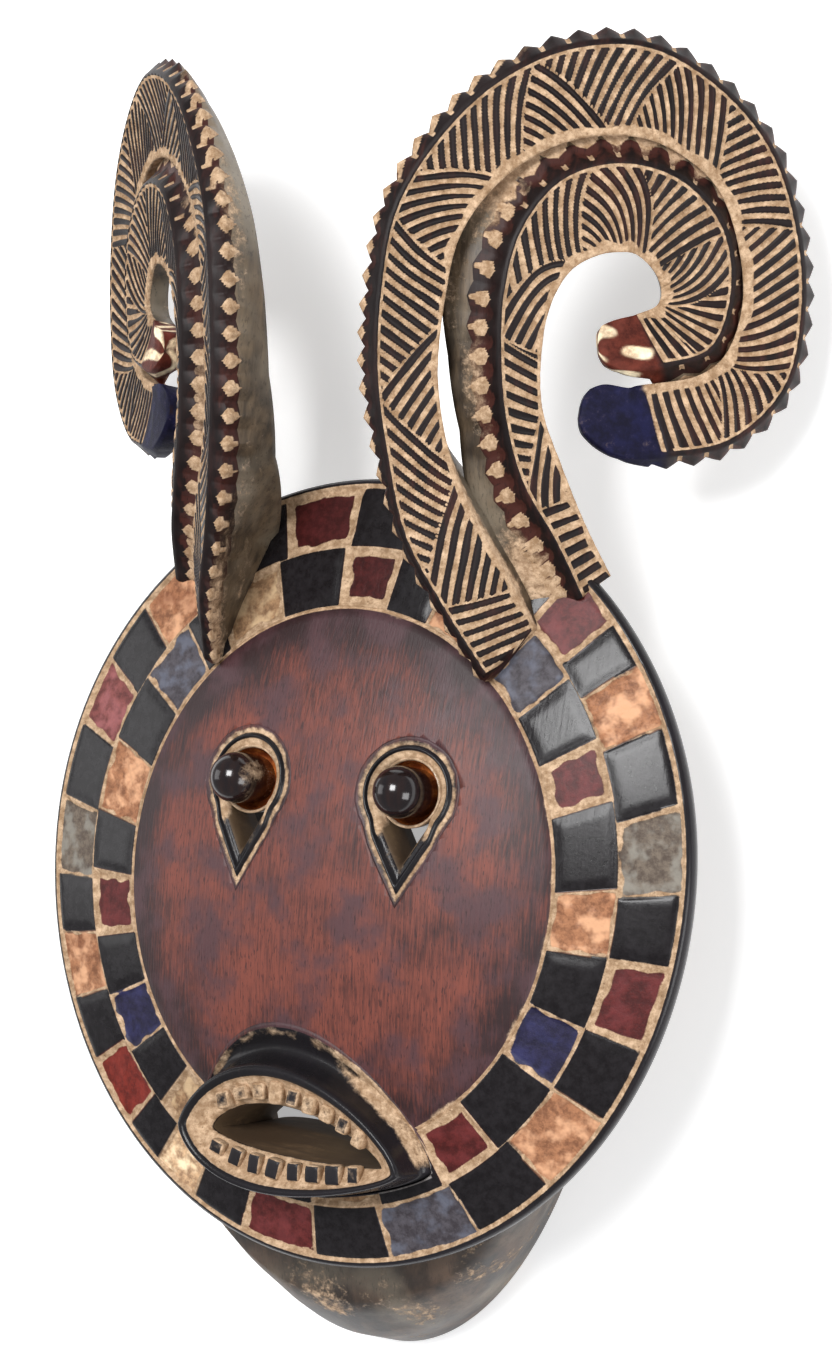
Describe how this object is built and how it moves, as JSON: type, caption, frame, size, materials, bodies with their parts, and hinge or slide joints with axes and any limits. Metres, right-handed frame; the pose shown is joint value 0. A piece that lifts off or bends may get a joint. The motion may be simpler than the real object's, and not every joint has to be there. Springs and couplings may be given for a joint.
{
  "type": "carved wooden mask",
  "caption": "Carved wooden mask with an oval checkered face plate, a jutting toothed mouth, paired curling horns with notched edges and a hollow back.",
  "frame": {"origin": "centre of the box in plan, on the surface that the mask lies on, which is the plane of its back rim", "axes": "+X to the viewer's right across the face, +Y up the face towards the horns, +Z out of the face"},
  "size_m": [0.2586, 0.4112, 0.1125],
  "materials": {
    "carved_wood": "dark stained and polished hardwood with tan dust in the carving and painted squares, worn"
  },
  "bodies": {
    "root": {"mask": "carved_wood"}
  },
  "joints": []
}
